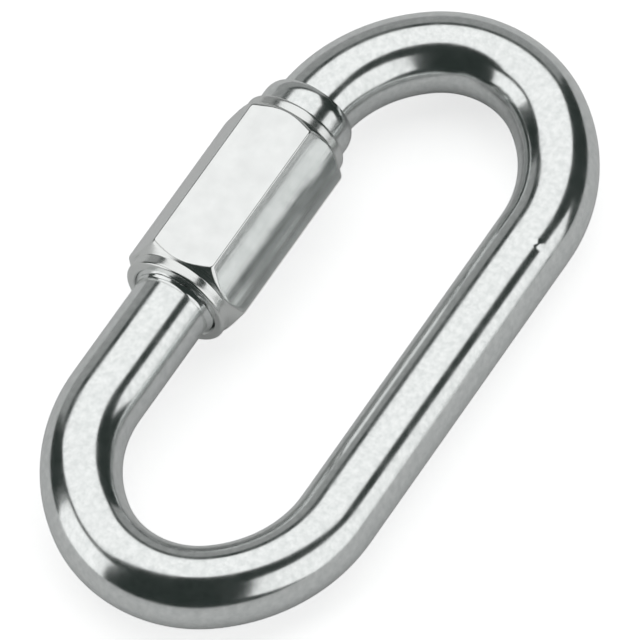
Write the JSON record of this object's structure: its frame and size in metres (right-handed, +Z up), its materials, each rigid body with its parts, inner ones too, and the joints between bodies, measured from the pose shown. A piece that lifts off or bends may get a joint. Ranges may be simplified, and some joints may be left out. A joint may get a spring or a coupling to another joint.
{
  "type": "chain quick link",
  "caption": "Long round-bar link with a gap in one leg, closed by a hexagonal sleeve nut that screws across it, to join chains, cables and rings.",
  "frame": {"origin": "on the surface that the link lies on, under the middle of its box", "axes": "+X along the link towards the bow that the closed nut meets, +Y towards the leg with the nut, +Z up"},
  "size_m": [0.075, 0.0366, 0.0115],
  "materials": {
    "bar": "bright plated, polished",
    "nut": "satin, drawn and turned"
  },
  "bodies": {
    "link": {"link_bar": "bar"},
    "nut": {"sleeve_nut": "nut"}
  },
  "joints": [
    {"name": "nut_travel", "type": "slide", "parent": "link", "child": "nut", "axis": [-1, 0, 0], "range_m": [0, 0.014]}
  ]
}
